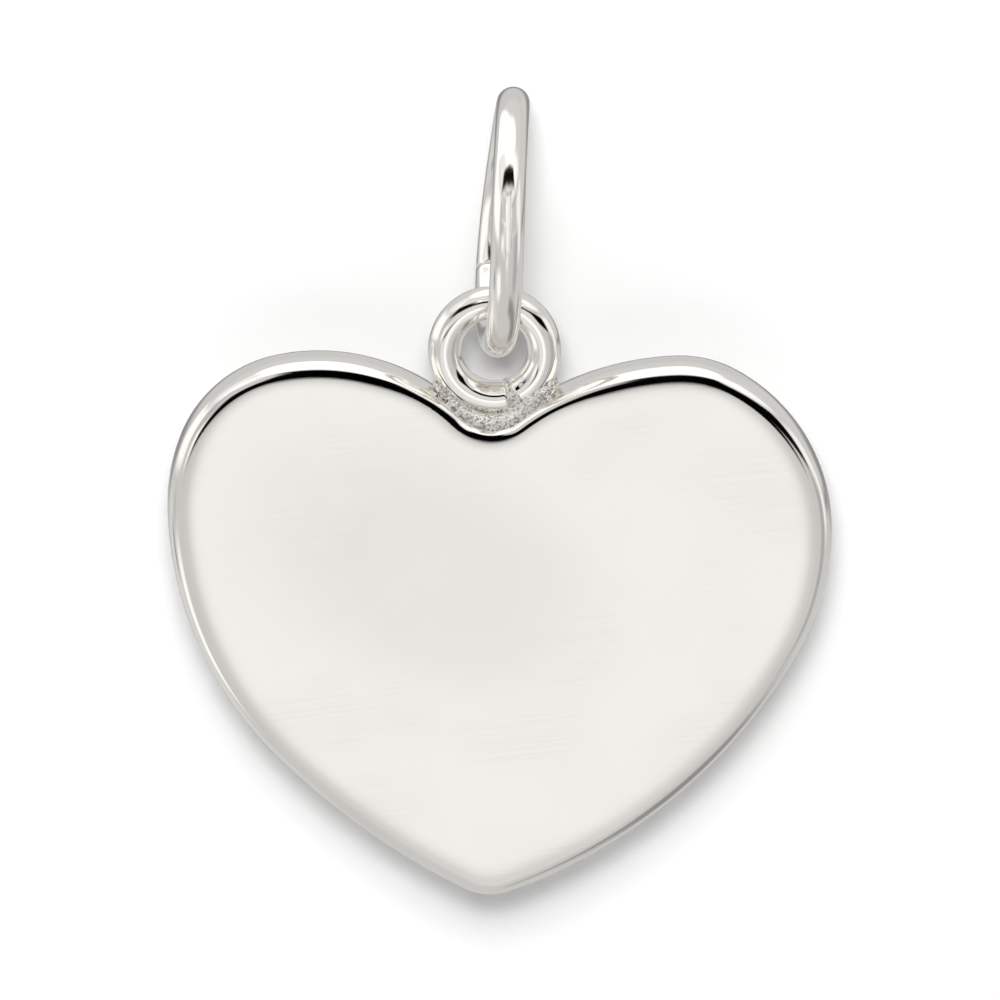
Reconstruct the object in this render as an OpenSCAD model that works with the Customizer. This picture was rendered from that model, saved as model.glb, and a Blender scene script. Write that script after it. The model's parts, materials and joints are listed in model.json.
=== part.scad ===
// Heart pendant: a solid silver heart, a small ring soldered into its cleft,
// and a larger jump ring that hangs it from a chain.
// Millimetres. +Z is up, the photographed face looks along -Y, and the origin is
// the point where a chain bears, inside the top of the jump ring.

/* [Heart] */
// Thickness of the heart
plate_t = 1.4; // [1.2:0.05:1.8]
// Radius of the rounded edge, on both faces
edge_r = 0.43; // [0.25:0.01:0.5]
// Radius of the tip
tip_r = 1.45; // [1.4:0.05:1.8]
// Radius of the rounded bottom of the cleft
cleft_r = 1.05; // [0.8:0.05:1.3]

/* [Left half] */
// Distance from the eyelet's centre line to the left side
left_w = 8.1; // [8:0.02:8.2]
// Depth of the widest point of the left half below the eyelet's centre
left_drop = 4; // [3.9:0.05:4.1]
// Radius of the left lobe's shoulder, just above its widest point
left_shoulder_r = 4.9; // [4.7:0.05:5.1]
// Angle that the left shoulder turns through
left_shoulder_turn = 20.5; // [18:0.5:23]
// Radius of the top of the left lobe
left_top_r = 3.3; // [3.2:0.05:3.4]
// Angle that the top of the left lobe turns through
left_top_turn = 57.5; // [55:0.5:60]
// Radius of the slope from the left lobe's top down to the cleft
left_slope_r = 5; // [4.7:0.1:5.3]
// Radius of the left side, below its widest point
left_side_r = 9.3; // [8.5:0.1:10]
// Angle that the left side turns through
left_side_turn = 43; // [40:0.5:46]
// Radius of the long curve from the left side to the tip
left_flank_r = 17.7; // [16.5:0.1:19]

/* [Right half] */
// Distance from the eyelet's centre line to the right side
right_w = 8.36; // [8.26:0.02:8.46]
// Depth of the widest point of the right half below the eyelet's centre
right_drop = 4.65; // [4.55:0.05:4.75]
// Radius of the right lobe's shoulder, just above its widest point
right_shoulder_r = 4.65; // [4.5:0.05:4.8]
// Angle that the right shoulder turns through
right_shoulder_turn = 60; // [57:0.5:63]
// Radius of the top of the right lobe
right_top_r = 2.9; // [2.8:0.05:3]
// Angle that the top of the right lobe turns through
right_top_turn = 32; // [30:0.5:34]
// Radius of the slope from the right lobe's top down to the cleft
right_slope_r = 6.8; // [6.4:0.1:7.2]
// Radius of the right side, below its widest point
right_side_r = 6.6; // [6.2:0.1:7]
// Angle that the right side turns through
right_side_turn = 29; // [26:0.5:32]
// Radius of the long curve from the right side to the tip
right_flank_r = 13.9; // [13.1:0.1:14.7]

/* [Eyelet] */
// Diameter of the eyelet's wire
eyelet_wire_d = 0.82; // [0.7:0.01:0.9]
// Diameter of the eyelet's hole
eyelet_hole_d = 1.64; // [1.5:0.02:1.8]
// Thickness of the solder between the eyelet and the cleft
solder_t = 0.9; // [0.6:0.05:1.2]
// Angle that the solder covers, to each side of the cleft's bottom
solder_spread = 60; // [50:1:64]

/* [Jump ring] */
// Diameter of the jump ring's wire
ring_wire_d = 0.82; // [0.7:0.01:0.9]
// Outer diameter of the jump ring
ring_outer_d = 6.69; // [6:0.01:7.5]
// Gap left between the two wires where the eyelet hangs on the jump ring
hang_gap = 0.04; // [0.03:0.01:0.08]
// Angle that the jump ring leans sideways, its top to the right
ring_lean = 4.2; // [0:0.1:6]
// Angle that the jump ring is turned about the vertical, its back to the left
ring_turn = 1.6; // [0:0.1:3]
// Width of the closed saw cut in the jump ring
ring_cut_w = 0.05; // [0.03:0.01:0.1]
// Angle of the saw cut, from the top of the ring towards the back
ring_cut_at = 131; // [120:1:140]

/* [Hidden] */
$fn = 96;

// Width of the rounded band that runs along the outline, and how far inside the
// outline the flat core ends, hidden under that band
band_w = 1.1;
core_inset = 0.7;
// How far the cutters that end each band reach past it
band_trim = 0.2;
// Largest angle between two corners of the core or of a cutter
corner_step = 12;

eyelet_wire_r = eyelet_wire_d / 2;
eyelet_mean_r = eyelet_hole_d / 2 + eyelet_wire_r;
ring_wire_r = ring_wire_d / 2;
ring_mean_r = ring_outer_d / 2 - ring_wire_r;
ring_cut_angle = ring_cut_w / ring_mean_r * 180 / PI;
// The eyelet hangs on the wire with this drop from the wire's centre to the
// eyelet's centre, and that places the ring and the chain's bearing point
hang_drop = eyelet_hole_d / 2 - ring_wire_r - hang_gap;
ring_centre = [
    ring_mean_r * sin(ring_lean),
    hang_drop + ring_mean_r * cos(ring_lean)
];
hook_r = ring_mean_r - ring_wire_r;
hook = ring_centre + hook_r * [sin(ring_lean), cos(ring_lean)];

// A point at radius r in direction a, and the direction of a vector
function polar(r, a) = r * [cos(a), sin(a)];
function direction(v) = atan2(v[1], v[0]);

// The point at distances ra from a and rb from b, to the left of the line a to b
function meet(a, ra, b, rb) =
    let (
        gap = norm(b - a),
        along = (ra * ra - rb * rb + gap * gap) / (2 * gap),
        across = sqrt(ra * ra - along * along),
        u = (b - a) / gap
    )
    a + along * u + across * [-u[1], u[0]];

// The outline, seen from the photographed side with the eyelet's centre at [0, 0].
// Each half is five arcs that run into each other, from the cleft down to the tip:
// slope, top, shoulder, side and flank.
left_shoulder_c = [left_shoulder_r - left_w, -left_drop];
left_shoulder_a = 180 - left_shoulder_turn;
left_top_c = left_shoulder_c + polar(left_shoulder_r - left_top_r, left_shoulder_a);
left_top_a = left_shoulder_a - left_top_turn;
left_slope_c = left_top_c + polar(left_top_r - left_slope_r, left_top_a);
left_side_c = [left_side_r - left_w, -left_drop];
left_low = 180 + left_side_turn;
left_flank_c = left_side_c + polar(left_side_r - left_flank_r, left_low);

right_shoulder_c = [right_w - right_shoulder_r, -right_drop];
right_shoulder_a = right_shoulder_turn;
right_top_c = right_shoulder_c + polar(right_shoulder_r - right_top_r, right_shoulder_a);
right_top_a = right_shoulder_a + right_top_turn;
right_slope_c = right_top_c + polar(right_top_r - right_slope_r, right_top_a);
right_side_c = [right_w - right_side_r, -right_drop];
right_low = -right_side_turn;
right_flank_c = right_side_c + polar(right_side_r - right_flank_r, right_low);

// The tip touches both flanks from inside, and the cleft both slopes from outside
tip_c = meet(left_flank_c, left_flank_r - tip_r, right_flank_c, right_flank_r - tip_r);
cleft_c = meet(left_slope_c, left_slope_r + cleft_r, right_slope_c, right_slope_r + cleft_r);

tip_left = direction(tip_c - left_flank_c) + 360;
tip_right = direction(tip_c - right_flank_c);
cleft_left = direction(cleft_c - left_slope_c);
cleft_right = direction(cleft_c - right_slope_c);

// The solder runs from the middle of the eyelet's wire to inside the heart's edge
solder_reach = cleft_r - cleft_c[1] + 0.4;

// Counter-clockwise round the heart: centre, radius, first angle, last angle.
// The cleft is the one hollow arc, so its radius is negative.
OUTLINE = [
    [tip_c, tip_r, tip_left - 360, tip_right],
    [right_flank_c, right_flank_r, tip_right, right_low],
    [right_side_c, right_side_r, right_low, 0],
    [right_shoulder_c, right_shoulder_r, 0, right_shoulder_a],
    [right_top_c, right_top_r, right_shoulder_a, right_top_a],
    [right_slope_c, right_slope_r, right_top_a, cleft_right],
    [cleft_c, -cleft_r, cleft_right, cleft_left],
    [left_slope_c, left_slope_r, cleft_left, left_top_a],
    [left_top_c, left_top_r, left_top_a, left_shoulder_a],
    [left_shoulder_c, left_shoulder_r, left_shoulder_a, 180],
    [left_side_c, left_side_r, 180, left_low],
    [left_flank_c, left_flank_r, left_low, tip_left]
];

// A point of an arc, moved inwards, at this share of the way along the arc
function arc_point(arc, inset, share) =
    arc[0] + polar(arc[1] - inset, arc[2] + (arc[3] - arc[2]) * share);

// How many straight steps follow an arc
function steps(arc) = ceil(abs(arc[3] - arc[2]) / corner_step);

// Section of the rounded band: the outline's edge at x = 0, the metal towards -x
module band_section() {
    flat_h = plate_t / 2 - edge_r;
    translate([-band_w, -plate_t / 2])
        square([band_w - edge_r, plate_t]);
    translate([-band_w, -flat_h])
        square([band_w, 2 * flat_h]);
    for (side = [-1, 1])
        translate([-edge_r, side * flat_h])
            circle(r = edge_r);
}

// Moves by thousandths of a millimetre and then by the rest, so that each arc
// meets the next one to the last digit
module place(p) {
    near = [for (x = p) round(x * 1000) / 1000];
    translate([near[0], near[1], 0])
        translate([p[0] - near[0], p[1] - near[1], 0])
            children();
}

// Cuts one arc's length out of a ring, and reaches past the band on both sides
module stretch(arc) {
    n = steps(arc);
    linear_extrude(2 * plate_t, center = true)
        polygon(concat(
            [for (k = [0 : n]) arc_point(arc, -band_trim, k / n)],
            [for (k = [n : -1 : 0]) arc_point(arc, band_w + band_trim, k / n)]
        ));
}

// The rounded band along one arc: a whole ring, cut to that arc
module band(arc) {
    hollow = arc[1] < 0;
    intersection() {
        place(arc[0])
            rotate_extrude($fn = 240)
                translate([abs(arc[1]), 0])
                    mirror([hollow ? 1 : 0, 0])
                        band_section();
        stretch(arc);
    }
}

// The flat core, whose edge is hidden inside the bands
module core() {
    linear_extrude(plate_t, center = true)
        polygon([
            for (arc = OUTLINE)
                for (k = [0 : steps(arc) - 1])
                    arc_point(arc, core_inset, k / steps(arc))
        ]);
}

module heart_plate() {
    for (arc = OUTLINE)
        band(arc);
    core();
}

module eyelet() {
    rotate_extrude()
        translate([eyelet_mean_r, 0])
            circle(r = eyelet_wire_r, $fn = 48);
}

// Fills the narrow gap between the eyelet's foot and the cleft
module solder() {
    far = 2 * solder_reach;
    linear_extrude(solder_t, center = true)
        difference() {
            intersection() {
                circle(r = solder_reach);
                polygon([
                    [0, 0],
                    polar(far, -90 - solder_spread),
                    polar(far, -90),
                    polar(far, -90 + solder_spread)
                ]);
            }
            circle(r = eyelet_mean_r);
        }
}

module heart() {
    color("silver")
        translate([-hook[0], 0, -hook[1]])
            rotate([90, 0, 0]) {
                heart_plate();
                eyelet();
                solder();
            }
}

module jump_ring() {
    color("gainsboro")
        rotate([0, ring_lean, 0])
            translate([0, 0, -hook_r])
                rotate([0, 0, ring_turn])
                    rotate([0, -90, 0])
                        rotate([0, 0, ring_cut_at + ring_cut_angle / 2])
                            rotate_extrude(angle = 360 - ring_cut_angle, $fn = 180)
                                translate([ring_mean_r, 0])
                                    circle(r = ring_wire_r, $fn = 48);
}

heart();
jump_ring();
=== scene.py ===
import json
import math

import bpy
from mathutils import Matrix, Vector


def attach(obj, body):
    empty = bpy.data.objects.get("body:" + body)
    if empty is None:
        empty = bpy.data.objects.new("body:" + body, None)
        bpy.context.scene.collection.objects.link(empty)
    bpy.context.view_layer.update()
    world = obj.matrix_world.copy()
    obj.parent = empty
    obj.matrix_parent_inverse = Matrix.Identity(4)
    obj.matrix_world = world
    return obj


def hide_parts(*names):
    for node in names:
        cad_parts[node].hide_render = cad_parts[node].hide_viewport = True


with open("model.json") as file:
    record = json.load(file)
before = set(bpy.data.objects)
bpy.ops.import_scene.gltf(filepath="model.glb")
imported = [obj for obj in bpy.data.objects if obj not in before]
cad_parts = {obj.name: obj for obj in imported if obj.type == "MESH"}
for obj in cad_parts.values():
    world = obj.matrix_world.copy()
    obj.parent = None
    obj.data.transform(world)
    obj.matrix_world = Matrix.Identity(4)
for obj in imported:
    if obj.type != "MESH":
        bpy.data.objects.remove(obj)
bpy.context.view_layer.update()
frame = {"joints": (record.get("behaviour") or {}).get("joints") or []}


# The heart is one solid piece of sterling silver, sawn out of 1.4 mm sheet. Its edge
# is filed round on both faces, and the buffing wheel has softened the last millimetre
# of each face. Every piece is shaped in millimetres round the eyelet's centre.
MM = 0.001
EYELET_CENTRE = Vector(frame["joints"][0]["pos_m"])

TIP_R = 1.45
CLEFT_R = 1.05
LEFT_WIDTH = 8.1
LEFT_DROP = 4.0
LEFT_SHOULDER_R = 4.9
LEFT_SHOULDER_TURN = 20.5
LEFT_TOP_R = 3.3
LEFT_TOP_TURN = 57.5
LEFT_SLOPE_R = 5.0
LEFT_SIDE_R = 9.3
LEFT_SIDE_TURN = 43.0
LEFT_FLANK_R = 17.7
RIGHT_WIDTH = 8.36
RIGHT_DROP = 4.65
RIGHT_SHOULDER_R = 4.65
RIGHT_SHOULDER_TURN = 60.0
RIGHT_TOP_R = 2.9
RIGHT_TOP_TURN = 32.0
RIGHT_SLOPE_R = 6.8
RIGHT_SIDE_R = 6.6
RIGHT_SIDE_TURN = 29.0
RIGHT_FLANK_R = 13.9

# How finely the outline is drawn: the longest side, and the largest turn between two
ARC_STEP = 0.12
ARC_TURN = 3
WELD = 0.002
FIRST_THICKNESS = 0.01
FACING = 0.9

# How its edge is filed, from the middle of its side to the flat face
HALF_THICKNESS = 0.7
CROWN_HALF = 0.373
CROWN_SLOPE = 12.0
CROWN_STEPS = 6
CORNER_R = 0.385
CORNER_STEPS = 14
SHOULDER_SLOPE = 6.0
SHOULDER_WIDTH = 0.9
SHOULDER_STEPS = 14
SHOULDER_EASE = 1.5
SHOULDER_FADE = 4
CLEFT_LIFT = 0.1
CLEFT_NEAR = 1.3
CLEFT_FADE = 2.2


def on_face(radius, angle):
    """A point of the heart's plane, at this angle counter-clockwise from the right."""
    turn = math.radians(angle)
    return Vector((radius * math.cos(turn), 0, radius * math.sin(turn)))


def heading(v):
    """The angle of a direction in the heart's plane."""
    return math.degrees(math.atan2(v.z, v.x))


def arcs_meet(a, a_radius, b, b_radius):
    """The centre at these distances from two others, left of the line between them."""
    apart = (b - a).length
    along = (a_radius ** 2 - b_radius ** 2 + apart ** 2) / (2 * apart)
    across = math.sqrt(a_radius ** 2 - along ** 2)
    line = (b - a) / apart
    return a + along * line + across * Vector((-line.z, 0, line.x))


def run_on(centre, radius, next_radius, angle):
    """The centre of the arc that takes over from this one at this angle."""
    return centre + on_face(radius - next_radius, angle)


left_shoulder = Vector((LEFT_SHOULDER_R - LEFT_WIDTH, 0, -LEFT_DROP))
left_shoulder_a = 180 - LEFT_SHOULDER_TURN
left_top = run_on(left_shoulder, LEFT_SHOULDER_R, LEFT_TOP_R, left_shoulder_a)
left_top_a = left_shoulder_a - LEFT_TOP_TURN
left_slope = run_on(left_top, LEFT_TOP_R, LEFT_SLOPE_R, left_top_a)
left_side = Vector((LEFT_SIDE_R - LEFT_WIDTH, 0, -LEFT_DROP))
left_low = 180 + LEFT_SIDE_TURN
left_flank = run_on(left_side, LEFT_SIDE_R, LEFT_FLANK_R, left_low)
right_shoulder = Vector((RIGHT_WIDTH - RIGHT_SHOULDER_R, 0, -RIGHT_DROP))
right_shoulder_a = RIGHT_SHOULDER_TURN
right_top = run_on(right_shoulder, RIGHT_SHOULDER_R, RIGHT_TOP_R, right_shoulder_a)
right_top_a = right_shoulder_a + RIGHT_TOP_TURN
right_slope = run_on(right_top, RIGHT_TOP_R, RIGHT_SLOPE_R, right_top_a)
right_side = Vector((RIGHT_WIDTH - RIGHT_SIDE_R, 0, -RIGHT_DROP))
right_low = -RIGHT_SIDE_TURN
right_flank = run_on(right_side, RIGHT_SIDE_R, RIGHT_FLANK_R, right_low)
tip = arcs_meet(left_flank, LEFT_FLANK_R - TIP_R, right_flank, RIGHT_FLANK_R - TIP_R)
cleft = arcs_meet(left_slope, LEFT_SLOPE_R + CLEFT_R, right_slope, RIGHT_SLOPE_R + CLEFT_R)
tip_left = heading(tip - left_flank) + 360
tip_right = heading(tip - right_flank)
cleft_left = heading(cleft - left_slope)
cleft_right = heading(cleft - right_slope)

# Counter-clockwise from the left of the tip: centre, radius, first and last angle
OUTLINE = [
    (tip, TIP_R, tip_left - 360, tip_right),
    (right_flank, RIGHT_FLANK_R, tip_right, right_low),
    (right_side, RIGHT_SIDE_R, right_low, 0),
    (right_shoulder, RIGHT_SHOULDER_R, 0, right_shoulder_a),
    (right_top, RIGHT_TOP_R, right_shoulder_a, right_top_a),
    (right_slope, RIGHT_SLOPE_R, right_top_a, cleft_right),
    (cleft, CLEFT_R, cleft_right, cleft_left),
    (left_slope, LEFT_SLOPE_R, cleft_left, left_top_a),
    (left_top, LEFT_TOP_R, left_top_a, left_shoulder_a),
    (left_shoulder, LEFT_SHOULDER_R, left_shoulder_a, 180),
    (left_side, LEFT_SIDE_R, 180, left_low),
    (left_flank, LEFT_FLANK_R, left_low, tip_left),
]


def work_on(piece):
    """Makes this piece the only one selected."""
    bpy.ops.object.select_all(action="DESELECT")
    piece.select_set(True)
    bpy.context.view_layer.objects.active = piece


def pick_faces(piece, wanted):
    """Selects the faces that are wanted, and stays in edit mode."""
    bpy.ops.mesh.select_mode(type="FACE")
    bpy.ops.mesh.select_all(action="DESELECT")
    bpy.ops.object.mode_set(mode="OBJECT")
    for face in piece.data.polygons:
        face.select = wanted(face)
    bpy.ops.object.mode_set(mode="EDIT")


def apply_all(piece):
    """Applies the piece's modifiers, from the first to the last."""
    work_on(piece)
    for modifier in list(piece.modifiers):
        bpy.ops.object.modifier_apply(modifier=modifier.name)


def set_down(piece):
    """Takes a piece from millimetres round the eyelet to metres in the frame."""
    work_on(piece)
    piece.scale = (MM, MM, MM)
    piece.location = EYELET_CENTRE
    bpy.ops.object.transform_apply(location=True, rotation=True, scale=True)
    bpy.ops.object.shade_smooth()


# The outline is drawn by spinning one point round each arc in turn
bpy.ops.object.select_all(action="DESELECT")
bpy.ops.mesh.primitive_plane_add(size=1)
heart_plate = bpy.context.object
heart_plate.name = "heart_plate"
bpy.ops.object.mode_set(mode="EDIT")
bpy.ops.mesh.merge(type="CENTER")
bpy.ops.transform.translate(value=tip + on_face(TIP_R, tip_left - 360))
for centre, radius, first, last in OUTLINE:
    turn = math.radians(last - first)
    steps = math.ceil(max(abs(turn) * radius / ARC_STEP, abs(last - first) / ARC_TURN))
    bpy.ops.mesh.spin(steps=steps, angle=turn, center=centre, axis=(0, 1, 0))
bpy.ops.mesh.select_all(action="SELECT")
bpy.ops.mesh.remove_doubles(threshold=WELD)
bpy.ops.mesh.edge_face_add()
bpy.ops.mesh.extrude_region_move(TRANSFORM_OT_translate={"value": (0, FIRST_THICKNESS, 0)})
bpy.ops.mesh.select_all(action="SELECT")
bpy.ops.mesh.normals_make_consistent(inside=False)

# How far in and how far up each step goes: first the slightly crowned side, then the
# rounded corner, then the shoulder that runs out into the flat face
edge = [(0, 0)]
crown_r = CROWN_HALF / math.sin(math.radians(CROWN_SLOPE))
for k in range(1, CROWN_STEPS + 1):
    slope = math.radians(CROWN_SLOPE * k / CROWN_STEPS)
    edge.append((crown_r * (1 - math.cos(slope)), crown_r * math.sin(slope)))
crown_in, crown_up = edge[-1]
crown_end = math.radians(CROWN_SLOPE)
corner_turn = 90 - CROWN_SLOPE - SHOULDER_SLOPE
for k in range(1, CORNER_STEPS + 1):
    slope = math.radians(90 - CROWN_SLOPE - k * corner_turn / CORNER_STEPS)
    edge.append((crown_in + CORNER_R * (math.cos(crown_end) - math.sin(slope)),
                 crown_up + CORNER_R * (math.cos(slope) - math.sin(crown_end))))
corner_in, corner_up = edge[-1]
shoulder_up = HALF_THICKNESS - corner_up
for k in range(1, SHOULDER_STEPS + 1):
    share = (k / SHOULDER_STEPS) ** SHOULDER_EASE
    edge.append((corner_in + SHOULDER_WIDTH * share,
                 corner_up + shoulder_up * (1 - (1 - share) ** SHOULDER_FADE)))
for towards in (-1, 1):
    pick_faces(heart_plate, lambda face: face.normal.y * towards > FACING)
    for before, after in zip(edge, edge[1:]):
        bpy.ops.mesh.inset(thickness=after[0] - before[0], depth=after[1] - before[1],
                           use_even_offset=True)
bpy.ops.object.mode_set(mode="OBJECT")

# The file and the buffing wheel reach less of the corner in the cleft, so there the
# corner stands nearer to the outline
cleft_foot = cleft + on_face(CLEFT_R, -90)
filed_less = heart_plate.vertex_groups.new(name="cleft_corner")
for vertex in heart_plate.data.vertices:
    across = (vertex.co - cleft_foot) * Vector((1, 0, 1))
    near = 1 - min(1, max(0, across.length - CLEFT_NEAR) / CLEFT_FADE)
    on_corner = min(1, max(0, abs(vertex.co.y) - crown_up) / (corner_up - crown_up))
    filed_less.add([vertex.index], near * near * (3 - 2 * near) * on_corner, "REPLACE")
lift = heart_plate.modifiers.new("cleft_lift", "DISPLACE")
lift.direction = "Z"
lift.mid_level = 0
lift.strength = CLEFT_LIFT
lift.vertex_group = filed_less.name
apply_all(heart_plate)
set_down(heart_plate)


def new_group(name, inputs, outputs):
    """An empty shader node group, with its input and output nodes."""
    group = bpy.data.node_groups.new(name, "ShaderNodeTree")
    for title, kind, value in inputs:
        socket = group.interface.new_socket(title, in_out="INPUT", socket_type=kind)
        if value is not None:
            socket.default_value = value
    for title, kind in outputs:
        group.interface.new_socket(title, in_out="OUTPUT", socket_type=kind)
    return group, group.nodes.new("NodeGroupInput"), group.nodes.new("NodeGroupOutput")


def math_node(tree, operation, a, b=None):
    """A Math node whose two inputs are numbers or other nodes' sockets."""
    node = tree.nodes.new("ShaderNodeMath")
    node.operation = operation
    for socket, value in zip(node.inputs, (a, b)):
        if isinstance(value, (int, float)):
            socket.default_value = value
        elif value is not None:
            tree.links.new(value, socket)
    return node.outputs["Value"]


def range_node(tree, value, low, high, to_low, to_high, smooth=False):
    """A Map Range node, held between its two ends."""
    node = tree.nodes.new("ShaderNodeMapRange")
    if smooth:
        node.interpolation_type = "SMOOTHSTEP"
    tree.links.new(value, node.inputs["Value"])
    names = ("From Min", "From Max", "To Min", "To Max")
    for title, number in zip(names, (low, high, to_low, to_high)):
        if isinstance(number, (int, float)):
            node.inputs[title].default_value = number
        else:
            tree.links.new(number, node.inputs[title])
    return node.outputs["Result"]


def noise_node(tree, vector, scale, detail, roughness=0.5):
    """A Noise Texture on these coordinates."""
    node = tree.nodes.new("ShaderNodeTexNoise")
    node.inputs["Scale"].default_value = scale
    node.inputs["Detail"].default_value = detail
    node.inputs["Roughness"].default_value = roughness
    tree.links.new(vector, node.inputs["Vector"])
    return node.outputs["Fac"]


# The fine lines that a polishing cloth leaves, along the group's own X axis. They are
# plain in some patches and faint between them.
LINE_STRETCH = (0.12, 6.0, 6.0)
lines, lines_in, lines_out = new_group(
    "polishing_lines",
    [("Vector", "NodeSocketVector", None), ("Turn", "NodeSocketVector", (0, 0, 0))],
    [("Lines", "NodeSocketFloat")])
turned = lines.nodes.new("ShaderNodeMapping")
lines.links.new(lines_in.outputs["Vector"], turned.inputs["Vector"])
lines.links.new(lines_in.outputs["Turn"], turned.inputs["Rotation"])
stretched = lines.nodes.new("ShaderNodeMapping")
stretched.inputs["Scale"].default_value = LINE_STRETCH
lines.links.new(turned.outputs["Vector"], stretched.inputs["Vector"])
fine = noise_node(lines, stretched.outputs["Vector"], scale=2.2, detail=3.0, roughness=0.6)
patches = noise_node(lines, lines_in.outputs["Vector"], scale=0.35, detail=1.0)
shown = range_node(lines, patches, low=0.4, high=0.62, to_low=0.15, to_high=1.0)
lines.links.new(math_node(lines, "MULTIPLY", fine, shown), lines_out.inputs["Lines"])

# The broad unevenness of a hand-polished face, and its small cloudy patches
clouds, clouds_in, clouds_out = new_group(
    "hand_polish",
    [("Vector", "NodeSocketVector", None)],
    [("Swell", "NodeSocketFloat"), ("Cloud", "NodeSocketFloat")])
broad = noise_node(clouds, clouds_in.outputs["Vector"], scale=0.16, detail=1.0)
cloudy = noise_node(clouds, clouds_in.outputs["Vector"], scale=0.5, detail=4.0,
                    roughness=0.55)
clouds.links.new(broad, clouds_out.inputs["Swell"])
clouds.links.new(cloudy, clouds_out.inputs["Cloud"])


def silver(name, dull, bright, rough, line_turn, line_height, swell_height, painted_dark=None):
    """Silver: its two tones and roughnesses, the depth of its marks, and a mask that darkens
    it with painted shade and painted reflection.
    """
    material = bpy.data.materials.new(name)
    material.use_nodes = True
    tree = material.node_tree
    shader = tree.nodes["Principled BSDF"]
    shader.inputs["Metallic"].default_value = 1.0
    place = tree.nodes.new("ShaderNodeTexCoord")
    in_mm = tree.nodes.new("ShaderNodeMapping")
    in_mm.inputs["Scale"].default_value = (1 / MM, 1 / MM, 1 / MM)
    tree.links.new(place.outputs["Object"], in_mm.inputs["Vector"])
    polish = tree.nodes.new("ShaderNodeGroup")
    polish.node_tree = clouds
    tree.links.new(in_mm.outputs["Vector"], polish.inputs["Vector"])
    marks = tree.nodes.new("ShaderNodeGroup")
    marks.node_tree = lines
    marks.inputs["Turn"].default_value = line_turn
    tree.links.new(in_mm.outputs["Vector"], marks.inputs["Vector"])
    tone = tree.nodes.new("ShaderNodeMix")
    tone.data_type = "RGBA"
    tone.inputs["A"].default_value = (*dull, 1)
    tone.inputs["B"].default_value = (*bright, 1)
    clean = range_node(tree, polish.outputs["Cloud"], low=0.3, high=0.7, to_low=0.85,
                       to_high=1)
    wiped = range_node(tree, marks.outputs["Lines"], low=0.15, high=0.6, to_low=1,
                       to_high=0.75)
    clean = math_node(tree, "MULTIPLY", clean, wiped)
    # Where a mask is given, it darkens the tone with painted shade and painted reflection.
    if painted_dark:
        clean = math_node(tree, "MULTIPLY", clean, painted_dark(tree, in_mm.outputs["Vector"]))
    tree.links.new(clean, tone.inputs["Factor"])
    tree.links.new(tone.outputs["Result"], shader.inputs["Base Color"])
    spread = math_node(tree, "ADD", polish.outputs["Cloud"], marks.outputs["Lines"])
    spread = range_node(tree, spread, 0.5, 1.1, *rough)
    tree.links.new(spread, shader.inputs["Roughness"])
    swell = tree.nodes.new("ShaderNodeBump")
    swell.inputs["Strength"].default_value = 1.0
    swell.inputs["Distance"].default_value = swell_height * MM
    tree.links.new(polish.outputs["Swell"], swell.inputs["Height"])
    scratch = tree.nodes.new("ShaderNodeBump")
    scratch.inputs["Strength"].default_value = 1.0
    scratch.inputs["Distance"].default_value = line_height * MM
    tree.links.new(marks.outputs["Lines"], scratch.inputs["Height"])
    tree.links.new(swell.outputs["Normal"], scratch.inputs["Normal"])
    tree.links.new(scratch.outputs["Normal"], shader.inputs["Normal"])
    return material


# A painted reflection: a darker oval painted into the heart face's colour, left of its
# middle, where the face mirrors darker surroundings.
REFLECTION_OVAL_MIDDLE = (-2.2, 0, -11.2)
REFLECTION_OVAL_REACH = (5.6, 8.0, 3.6)
REFLECTION_OVAL_TURN = 0.45
REFLECTION_OVAL_RIPPLE = 0.7
REFLECTION_OVAL_INSIDE = 0.75
REFLECTION_OVAL_OUTSIDE = 1.4


def painted_reflection_oval(tree, vector):
    """A soft darker oval on the face, left of its middle: a painted reflection of darker
    surroundings.
    """
    oval = tree.nodes.new("ShaderNodeMapping")
    oval.vector_type = "TEXTURE"
    oval.inputs["Location"].default_value = REFLECTION_OVAL_MIDDLE
    oval.inputs["Rotation"].default_value = (0, REFLECTION_OVAL_TURN, 0)
    oval.inputs["Scale"].default_value = REFLECTION_OVAL_REACH
    tree.links.new(vector, oval.inputs["Vector"])
    away = tree.nodes.new("ShaderNodeVectorMath")
    away.operation = "LENGTH"
    tree.links.new(oval.outputs["Vector"], away.inputs[0])
    ripple = noise_node(tree, vector, scale=0.35, detail=3.0)
    ripple = math_node(tree, "MULTIPLY", ripple, REFLECTION_OVAL_RIPPLE)
    rippled = math_node(tree, "ADD", away.outputs["Value"], ripple)
    return range_node(tree, rippled, REFLECTION_OVAL_INSIDE, REFLECTION_OVAL_OUTSIDE, 0, 1, smooth=True)


heart_plate.data.materials.clear()
heart_plate.data.materials.append(silver(
    "heart_silver", dull=(0.872, 0.845, 0.8), bright=(0.953, 0.93, 0.884),
    rough=(0.05, 0.11), line_turn=(0, 0.12, 0), line_height=0.0006, swell_height=0.03,
    painted_dark=painted_reflection_oval))
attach(heart_plate, "heart")
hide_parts("heart")


# The eyelet is a ring of 0.8 mm round silver wire, bent round a mandrel until its two
# ends meet. It stands in the cleft in the heart's own plane, with the joint between
# the wire's ends at the bottom, where the solder closes it.
EYELET_WIRE = 0.82
EYELET_HOLE = 1.64
EYELET_GAP = 11
EYELET_GAP_AT = -69.5
EYELET_STEPS = 120
WIRE_SIDES = 40
WIRE_END_INSET = 0.02
WIRE_END_CROWN = 0.012


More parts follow.
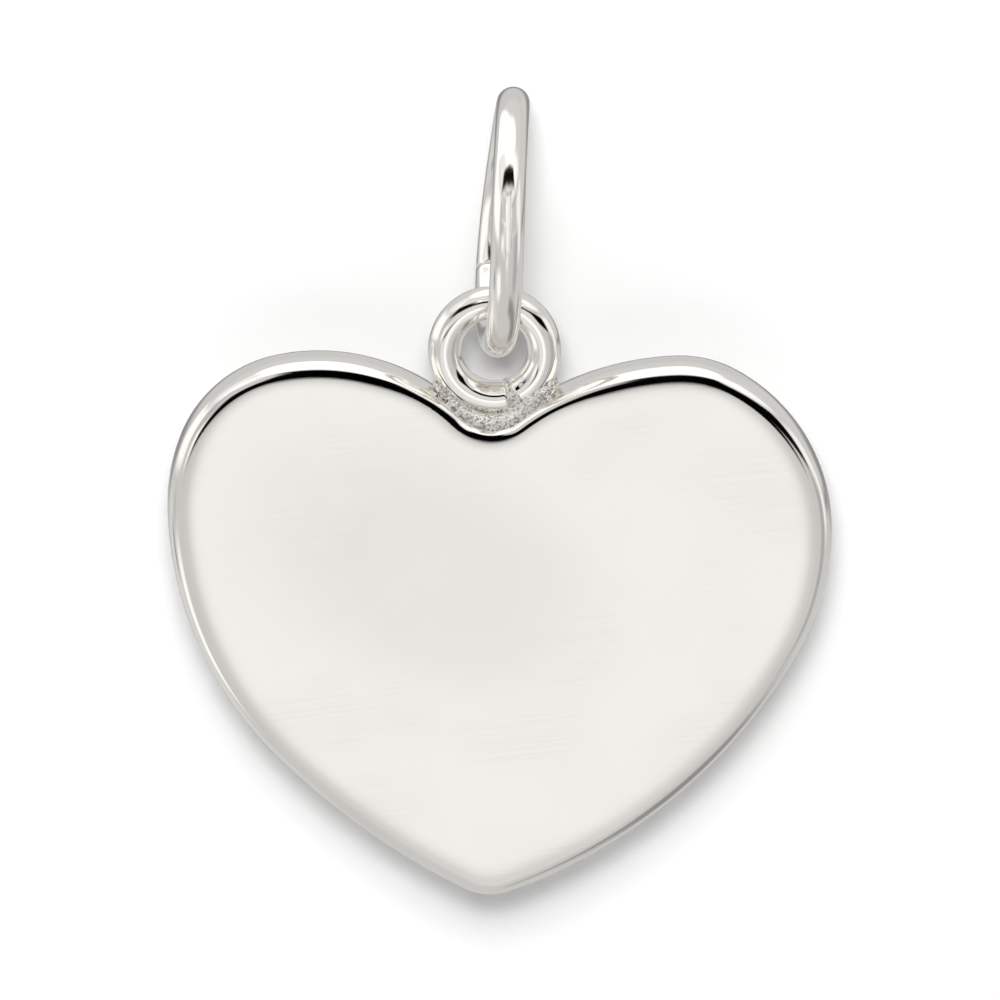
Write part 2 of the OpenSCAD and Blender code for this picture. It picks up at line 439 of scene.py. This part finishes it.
def wire_ring(name, wire, mean_radius, gap, gap_at, steps):
    """A ring of round wire about the Y axis, open by a small angle at its ends."""
    bpy.ops.object.select_all(action="DESELECT")
    bpy.ops.mesh.primitive_circle_add(
        vertices=WIRE_SIDES, radius=wire / 2, location=(mean_radius, 0, 0))
    ring = bpy.context.object
    ring.name = name
    bpy.ops.object.transform_apply(location=True)
    bpy.ops.object.mode_set(mode="EDIT")
    bpy.ops.mesh.select_all(action="SELECT")
    bpy.ops.mesh.spin(steps=steps, angle=math.radians(360 - gap), center=(0, 0, 0),
                      axis=(0, 1, 0))
    bpy.ops.mesh.select_all(action="SELECT")
    bpy.ops.mesh.fill_holes(sides=0)
    bpy.ops.mesh.select_all(action="SELECT")
    bpy.ops.mesh.normals_make_consistent(inside=False)
    pick_faces(ring, lambda face: len(face.vertices) > 4)
    bpy.ops.mesh.inset(thickness=WIRE_END_INSET, depth=WIRE_END_CROWN)
    bpy.ops.object.mode_set(mode="OBJECT")
    ring.rotation_euler = (0, -math.radians(gap_at + gap / 2), 0)
    bpy.ops.object.transform_apply(rotation=True)
    return ring


eyelet = wire_ring("eyelet", EYELET_WIRE, (EYELET_HOLE + EYELET_WIRE) / 2, EYELET_GAP,
                   EYELET_GAP_AT, EYELET_STEPS)
set_down(eyelet)
eyelet.data.materials.clear()
eyelet.data.materials.append(silver(
    "eyelet_silver", dull=(0.91, 0.885, 0.84), bright=(0.95, 0.926, 0.88),
    rough=(0.04, 0.1), line_turn=(0, 0.9, 0), line_height=0.0008, swell_height=0.02))
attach(eyelet, "heart")
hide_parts("heart")


# The solder is silver solder that was melted into the gap between the eyelet's foot
# and the cleft. It froze lumpy and full of pinholes, and it was left as it was, so it
# is the one rough place on the pendant. One bright bead of it sits on the eyelet.
FILLET = [
    # angle round the eyelet, distance from its centre, and half the width and depth
    (-145, 1.69, 0.09, 0.14),
    (-139, 1.67, 0.13, 0.18),
    (-132, 1.66, 0.16, 0.21),
    (-122, 1.68, 0.20, 0.25),
    (-112, 1.73, 0.23, 0.30),
    (-101, 1.79, 0.26, 0.34),
    (-90, 1.81, 0.28, 0.36),
    (-79, 1.78, 0.29, 0.35),
    (-68, 1.71, 0.30, 0.33),
    (-58, 1.63, 0.30, 0.31),
    (-49, 1.59, 0.28, 0.29),
    (-42, 1.63, 0.20, 0.24),
    (-36, 1.71, 0.12, 0.17),
]
FILLET_SPREAD = 0.62
RUN_UP = [
    # the same, then half the length along the wire and the depth of the lump's middle
    (-69.5, 1.23, 0.42, 0.40, 0.36, 0),
    (-62, 1.26, 0.41, 0.44, 0.16, 0),
    (-56, 1.45, 0.26, 0.33, 0.20, -0.10),
    (-48, 1.50, 0.20, 0.26, 0.20, -0.13),
    (-51, 1.03, 0.07, 0.07, 0.07, -0.36),
]
LUMP_LENGTH = 0.48
LUMP_SLIMNESS = 2.2
LUMP_FINENESS = 4
SOLDER_VOXEL = 0.015
SOLDER_FLOW = 0.6
SOLDER_FLOW_TIMES = 12

bpy.ops.object.select_all(action="DESELECT")
lumps = []


def melt(angle, distance, wide, deep, long, middle):
    """Adds one lump of solder, at this angle and distance from the eyelet's centre."""
    bpy.ops.mesh.primitive_ico_sphere_add(subdivisions=LUMP_FINENESS, radius=1)
    lump = bpy.context.object
    lump.scale = (wide, deep, long)
    lump.location = on_face(distance, angle) + Vector((0, middle, 0))
    lump.rotation_euler = (0, -math.radians(angle), 0)
    lumps.append(lump)


for angle, distance, wide, deep in FILLET:
    for side in (-1, 1):
        melt(angle, distance, wide, deep, min(LUMP_LENGTH, LUMP_SLIMNESS * wide),
             side * FILLET_SPREAD * deep)
for lump in RUN_UP:
    melt(*lump)
for lump in lumps:
    lump.select_set(True)
solder = lumps[0]
solder.name = "solder"
bpy.context.view_layer.objects.active = solder
bpy.ops.object.transform_apply(location=True, rotation=True, scale=True)
bpy.ops.object.join()


def cloud_texture(name, size, depth):
    """One of Blender's own cloud textures, for the Displace modifier."""
    made = bpy.data.textures.new(name, type="CLOUDS")
    made.noise_scale = size
    made.noise_depth = depth
    return made


def displace(piece, made, strength):
    """Moves the surface in and out by a texture."""
    modifier = piece.modifiers.new("displace", "DISPLACE")
    modifier.texture = made
    modifier.texture_coords = "LOCAL"
    modifier.strength = strength
    modifier.mid_level = 0.5


fuse = solder.modifiers.new("fuse", "REMESH")
fuse.mode = "VOXEL"
fuse.voxel_size = SOLDER_VOXEL
flow = solder.modifiers.new("flow", "SMOOTH")
flow.factor = SOLDER_FLOW
flow.iterations = SOLDER_FLOW_TIMES
displace(solder, cloud_texture("solder_swell", size=0.2, depth=1), strength=0.03)
displace(solder, cloud_texture("solder_grain", size=0.04, depth=0), strength=0.026)
apply_all(solder)
set_down(solder)


def painted_pinhole_shade(tree, vector):
    """Small dark spots of painted shade, for the holes where the flux has boiled out of the
    solder.
    """
    holes = noise_node(tree, vector, scale=14.0, detail=2.0)
    return range_node(tree, holes, low=0.34, high=0.5, to_low=0, to_high=1)


# The solder's pinholes are painted shade: dark spots of its dull tone in its colour, not
# holes in its shape.
solder.data.materials.clear()
solder.data.materials.append(silver(
    "solder_silver", dull=(0.36, 0.35, 0.33), bright=(0.93, 0.91, 0.87),
    rough=(0.28, 0.42), line_turn=(0, 0, 0), line_height=0.006, swell_height=0.02,
    painted_dark=painted_pinhole_shade))
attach(solder, "heart")
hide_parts("heart")


# The jump ring is 0.8 mm round silver wire, wound, sawn off and closed with pliers.
# Its ends meet low at the back, the pliers have twisted it by a few degrees, and it
# leans to the right, with the eyelet hanging on its lowest point.
RING_WIRE = 0.82
RING_OUTER = 6.69
RING_GAP = 1.1
RING_GAP_AT = -41
RING_STEPS = 200
RING_TWIST = -6.0
RING_LEAN = 4.45
RING_TURN = 1.6
HANG_DROP = 0.37

ring_mean = (RING_OUTER - RING_WIRE) / 2
jump_ring = wire_ring("jump_ring_wire", RING_WIRE, ring_mean, RING_GAP, RING_GAP_AT,
                      RING_STEPS)
jump_ring.rotation_euler = (0, 0, math.radians(90))
bpy.ops.object.transform_apply(rotation=True)
twist = jump_ring.modifiers.new("twist", "SIMPLE_DEFORM")
twist.deform_method = "TWIST"
twist.deform_axis = "Z"
twist.angle = math.radians(RING_TWIST)
apply_all(jump_ring)
lean = Matrix.Rotation(math.radians(RING_LEAN), 4, "Y")
turn = Matrix.Rotation(math.radians(RING_TURN), 4, "Z")
jump_ring.matrix_world = (Matrix.Translation((0, 0, HANG_DROP)) @ lean
                          @ Matrix.Translation((0, 0, ring_mean)) @ turn)
bpy.ops.object.transform_apply(location=True, rotation=True)
set_down(jump_ring)
jump_ring.data.materials.clear()
jump_ring.data.materials.append(silver(
    "jump_ring_silver", dull=(0.91, 0.885, 0.84), bright=(0.95, 0.926, 0.88),
    rough=(0.09, 0.15), line_turn=(0, 0, 0), line_height=0.0008, swell_height=0.02))
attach(jump_ring, "jump_ring")
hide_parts("jump_ring")


# The studio is white paper close behind the pendant and a pale table far below it.
# Three soft lamps light the paper. Polished silver shows only what stands round it, so
# white boards and dark gaps are drawn in the world, and cards hang where a piece differs.
PAPER_Y = 3.5
TABLE_Z = -30.0
STAGE_HALF = 400.0
PALE = (0.85, 0.85, 0.85)
PAPER_ROUGHNESS = 0.9


def paper(name, location, turn):
    """A wide sheet of pale paper, seen from its front only."""
    bpy.ops.object.select_all(action="DESELECT")
    bpy.ops.mesh.primitive_plane_add(size=2 * STAGE_HALF * MM)
    sheet = bpy.context.object
    sheet.name = name
    sheet.location = Vector(location) * MM
    sheet.rotation_euler = (turn, 0, 0)
    bpy.ops.object.transform_apply(location=True, rotation=True)
    material = bpy.data.materials.new(name)
    material.use_nodes = True
    tree = material.node_tree
    shader = tree.nodes["Principled BSDF"]
    shader.inputs["Base Color"].default_value = (*PALE, 1)
    shader.inputs["Roughness"].default_value = PAPER_ROUGHNESS
    shader.inputs["Specular IOR Level"].default_value = 0.0
    side = tree.nodes.new("ShaderNodeNewGeometry")
    clear = tree.nodes.new("ShaderNodeBsdfTransparent")
    either = tree.nodes.new("ShaderNodeMixShader")
    tree.links.new(side.outputs["Backfacing"], either.inputs["Fac"])
    tree.links.new(shader.outputs["BSDF"], either.inputs[1])
    tree.links.new(clear.outputs["BSDF"], either.inputs[2])
    tree.links.new(either.outputs["Shader"], tree.nodes["Material Output"].inputs["Surface"])
    sheet.data.materials.append(material)
    sheet.visible_glossy = False


paper("backdrop", (0, PAPER_Y, TABLE_Z + STAGE_HALF), math.radians(90))
paper("table", (0, PAPER_Y - STAGE_HALF, TABLE_Z), 0)

LAMP_AWAY = 300.0
STAGE_MIDDLE = Vector((-0.4, PAPER_Y, -13.0))


def soft_lamp(name, shape, to_right, upwards, width, height, watts):
    """A lamp that faces the paper; its place and size are shares of its distance."""
    lamp = bpy.data.lights.new(name, "AREA")
    lamp.shape = shape
    lamp.size = width * LAMP_AWAY * MM
    lamp.size_y = height * LAMP_AWAY * MM
    lamp.energy = watts
    stand = bpy.data.objects.new(name, lamp)
    bpy.context.collection.objects.link(stand)
    stand.location = (STAGE_MIDDLE + LAMP_AWAY * Vector((to_right, -1, upwards))) * MM
    stand.rotation_euler = (math.radians(90), 0, 0)
    stand.visible_glossy = False


soft_lamp("small_lamp", "DISK", -0.02, 0.44, 0.16, 0.16, 0.42)
soft_lamp("large_lamp", "DISK", -0.02, 0.6, 0.4, 0.4, 0.65)
soft_lamp("soft_box", "RECTANGLE", -0.09, 1.3, 1.18, 1.6, 0.5)


SCREEN_GAMMA = 2.2
SILVER_SHINE = 0.92


def light_of(grey):
    """How bright a board is, for the silver to show it as this grey."""
    level = (grey / 255) ** SCREEN_GAMMA / SILVER_SHINE
    return (level, level, level, 1)


def group_of(name, pieces):
    """A collection of the pieces that mirror a card."""
    group = bpy.data.collections.new(name)
    for piece in pieces:
        group.objects.link(piece)
    return group


def hang_card(name, place, width, height, level, mirrored_by):
    """A bright card, placed from the eyelet's centre, that lights only its own group."""
    lamp = bpy.data.lights.new(name, "AREA")
    lamp.shape = "RECTANGLE"
    lamp.size = width
    lamp.size_y = height
    lamp.energy = math.pi * lamp.size * lamp.size_y * level
    stand = bpy.data.objects.new(name, lamp)
    bpy.context.collection.objects.link(stand)
    stand.matrix_world = Matrix.Translation(EYELET_CENTRE) @ place
    stand.light_linking.receiver_collection = mirrored_by


CARD_STEPS = (-1, 0, 1)
CARD_STEP_ACROSS = 1.9
CARD_STEP_UP = 0.9
CARD_APART = 4.0
# Each card's middle and half size in degrees, across and up, the grey it shows as, and
# the pieces that mirror it. It is three thin cards, each behind and larger than the last,
# so that its border is soft. Its light adds to what the world shows behind it.
CARDS = [
    ("left_card", -30, 24, 15.3, 9.2, 197, (heart_plate, solder, jump_ring)),
    ("eyelet_front_card", -8, -32, 23, 22, 115, (eyelet,)),
    ("eyelet_low_card", 0, 3.5, 27, 11, 214, (eyelet, solder)),
    ("eyelet_side_card", 43, 24, 16, 3, 195, (eyelet, solder)),
    ("eyelet_high_card", 6, 34, 20, 6.5, 240, (eyelet, solder)),
    ("ring_front_card", 6, 16.5, 20, 24, 208, (jump_ring,)),
    ("ring_glow_card", -1, 16.5, 12, 23, 130, (jump_ring,)),
    ("ring_side_card", 42, 15, 16, 12, 192, (jump_ring,)),
    ("ring_left_card", -21, 2, 6, 13, 215, (jump_ring,)),
    ("ring_white_card", -125, 45, 20, 25, 200, (jump_ring,)),
]
for name, across, up, half_across, half_up, grey, pieces in CARDS:
    mirrored_by = group_of(name, pieces)
    for step in CARD_STEPS:
        away = (LAMP_AWAY + step * CARD_APART) * MM
        place = (Matrix.Rotation(math.radians(across), 4, "Z")
                 @ Matrix.Rotation(math.radians(90 - up), 4, "X")
                 @ Matrix.Translation((0, 0, away)))
        wide = math.tan(math.radians(half_across + step * CARD_STEP_ACROSS))
        high = math.tan(math.radians(half_up + step * CARD_STEP_UP))
        hang_card(name, place, 2 * away * wide, 2 * away * high,
                  light_of(grey)[0] / len(CARD_STEPS), mirrored_by)

# The cards that stand upright in front. Their places and half sizes are shares of
# their distance, to the right and up.
UPRIGHT_CARDS = [
    ("high_card", 0.0, 1.7, 1.25, 0.62, 262, (heart_plate, solder)),
    ("high_left_card", -1.6, 1.7, 0.35, 0.55, 235, (heart_plate, solder)),
    ("eyelet_top_card", -0.3, 1.68, 1.55, 0.56, 212, (eyelet,)),
]
for name, beside, above, half_beside, half_above, grey, pieces in UPRIGHT_CARDS:
    away = LAMP_AWAY * MM
    place = (Matrix.Translation(away * Vector((beside, -1, above)))
             @ Matrix.Rotation(math.radians(90), 4, "X"))
    hang_card(name, place, 2 * half_beside * away, 2 * half_above * away,
              light_of(grey)[0], group_of(name, pieces))

# One board: its middle, its half size and its soft border, across and up
board, board_in, board_out = new_group(
    "studio_board",
    [(title, "NodeSocketFloat", 0.0) for title in
     ("Across", "Up", "Middle Across", "Middle Up", "Half Across", "Half Up",
      "Soft Across", "Soft Up")],
    [("Mask", "NodeSocketFloat")])
sides = []
for title in ("Across", "Up"):
    off = math_node(board, "SUBTRACT", board_in.outputs[title],
                    board_in.outputs["Middle " + title])
    if title == "Across":
        wrapped = board.nodes.new("ShaderNodeMath")
        wrapped.operation = "WRAP"
        board.links.new(off, wrapped.inputs[0])
        wrapped.inputs[1].default_value = 180
        wrapped.inputs[2].default_value = -180
        off = wrapped.outputs["Value"]
    off = math_node(board, "ABSOLUTE", off)
    half = board_in.outputs["Half " + title]
    soft = board_in.outputs["Soft " + title]
    sides.append(range_node(board, off, math_node(board, "SUBTRACT", half, soft),
                            math_node(board, "ADD", half, soft), 1, 0, smooth=True))
board.links.new(math_node(board, "MULTIPLY", *sides), board_out.inputs["Mask"])

# Middle, half size and softness in degrees, across and up, then the grey it shows as.
# Across is 0 towards the camera and grows to the right; up is 0 at the horizon.
BOARDS = [
    # the upper room, brighter to the left and right of the ceiling cloth
    (0, 60, 180, 30, 0.1, 6, 205),
    (-65, 45, 32, 16, 14, 8, 236),
    (60, 43, 28, 11, 10, 5, 248),
    (125, 12, 32, 14, 4, 5, 202),
    # the big white board on the left, and the small bright one below it
    (-90, 11, 30, 15, 7, 4, 254),
    (-110, -35, 25, 22, 8, 8, 209),
    (-60, -33, 15, 10, 6, 5, 252),
    (-95, -24, 7, 4, 4, 3, 150),
    (-75, -16, 12, 4, 5, 3, 185),
    # the narrow white board on the right, and the dark gaps round it
    (78, 3, 15, 20, 5, 6, 240),
    (122, -8, 16, 3, 6, 3, 138),
    (60, -20, 14, 22, 8, 8, 168),
    (75, -58, 45, 9, 14, 6, 140),
    # the pendant's own shade on the paper behind it
    (180, -8, 40, 8, 14, 6, 138),
    # the dim left of the camera, with one lamp
    (-47, 14, 13, 14, 6, 6, 185),
    (-33, -2, 10, 6, 5, 3, 248),
    # the ceiling of white cloth
    (0, 80, 180, 20, 0.1, 4, 262),
    (18, 66, 58, 22, 12, 3, 262),
    # the white card with the camera's hole, straight ahead of the heart's face
    (1, -25, 9, 13, 7, 8, 210),
    (0, -17, 6, 6, 4, 4, 238),
    # the dark that the eyelet mirrors at the left, then the dark gap over the camera
    # and the gap's two ends
    (-30, 24, 17, 9, 4, 2, 8),
    (6, 16.5, 21, 24, 4, 1.5, 8),
    (40, 15, 19, 12, 4, 2, 10),
    (-18, 2, 9, 12.5, 4, 2, 8),
]

# The dark flag that the jump ring mirrors. It stands upright in front, so its rows hold
# shares of its distance, to the right and up.
FLAGS = [
    (-0.6, 1.68, 1.05, 0.56, 0.4, 0.2, 6),
    (0.5, 1.68, 0.7, 0.56, 0.05, 0.2, 3),
]

PLAIN_GREY = 196
ROOM = (0.9, 0.9, 0.9, 1)
LEAST_AHEAD = 0.0001

world = bpy.data.worlds.new("studio")
bpy.context.scene.world = world
world.use_nodes = True
sky = world.node_tree
place = sky.nodes.new("ShaderNodeTexCoord")
axes = sky.nodes.new("ShaderNodeSeparateXYZ")
sky.links.new(place.outputs["Generated"], axes.inputs["Vector"])
across = math_node(sky, "ARCTAN2", axes.outputs["X"],
                   math_node(sky, "MULTIPLY", axes.outputs["Y"], -1))
across = math_node(sky, "DEGREES", across)
up = math_node(sky, "DEGREES", math_node(sky, "ARCSINE", axes.outputs["Z"]))
ahead = math_node(sky, "MULTIPLY", axes.outputs["Y"], -1)
ahead = math_node(sky, "MAXIMUM", ahead, LEAST_AHEAD)
beside = math_node(sky, "DIVIDE", axes.outputs["X"], ahead)
above = math_node(sky, "DIVIDE", axes.outputs["Z"], ahead)

shade = None
for place_across, place_up, (*sizes, grey) in (
        [(across, up, row) for row in BOARDS] + [(beside, above, row) for row in FLAGS]):
    stand = sky.nodes.new("ShaderNodeGroup")
    stand.node_tree = board
    sky.links.new(place_across, stand.inputs["Across"])
    sky.links.new(place_up, stand.inputs["Up"])
    for title, value in zip(("Middle Across", "Middle Up", "Half Across", "Half Up",
                             "Soft Across", "Soft Up"), sizes):
        stand.inputs[title].default_value = value
    layer = sky.nodes.new("ShaderNodeMix")
    layer.data_type = "RGBA"
    layer.inputs["A"].default_value = light_of(PLAIN_GREY)
    if shade:
        sky.links.new(shade, layer.inputs["A"])
    layer.inputs["B"].default_value = light_of(grey)
    sky.links.new(stand.outputs["Mask"], layer.inputs["Factor"])
    shade = layer.outputs["Result"]

# The metal mirrors the boards, the paper is lit by the lamps alone, and a view past the
# paper sees a plain pale room
ray = sky.nodes.new("ShaderNodeLightPath")
mirrored = sky.nodes["Background"]
sky.links.new(shade, mirrored.inputs["Color"])
room = sky.nodes.new("ShaderNodeBackground")
room.inputs["Color"].default_value = ROOM
around = sky.nodes.new("ShaderNodeMixShader")
sky.links.new(ray.outputs["Is Diffuse Ray"], around.inputs["Fac"])
sky.links.new(mirrored.outputs["Background"], around.inputs[1])
seen = sky.nodes.new("ShaderNodeMixShader")
sky.links.new(ray.outputs["Is Camera Ray"], seen.inputs["Fac"])
sky.links.new(around.outputs["Shader"], seen.inputs[1])
sky.links.new(room.outputs["Background"], seen.inputs[2])
sky.links.new(seen.outputs["Shader"], sky.nodes["World Output"].inputs["Surface"])

# The photograph was taken with a long lens, 18 degrees above the pendant
VIEW_UP = 18.0
VIEW_WIDTH = 24.775
VIEW_AWAY = 400.0
NEAREST = 0.02
FARTHEST = 5.0
AIM = Vector((-0.264, 0, -9.722))
lens = bpy.data.cameras.new("camera")
lens.lens = lens.sensor_width * VIEW_AWAY / VIEW_WIDTH
lens.clip_start = NEAREST
lens.clip_end = FARTHEST
camera = bpy.data.objects.new("camera", lens)
bpy.context.collection.objects.link(camera)
camera.matrix_world = (Matrix.Translation(AIM * MM)
                       @ Matrix.Rotation(math.radians(90 - VIEW_UP), 4, "X")
                       @ Matrix.Translation((0, 0, VIEW_AWAY * MM)))
bpy.context.scene.camera = camera
bpy.context.scene.view_settings.view_transform = "Standard"
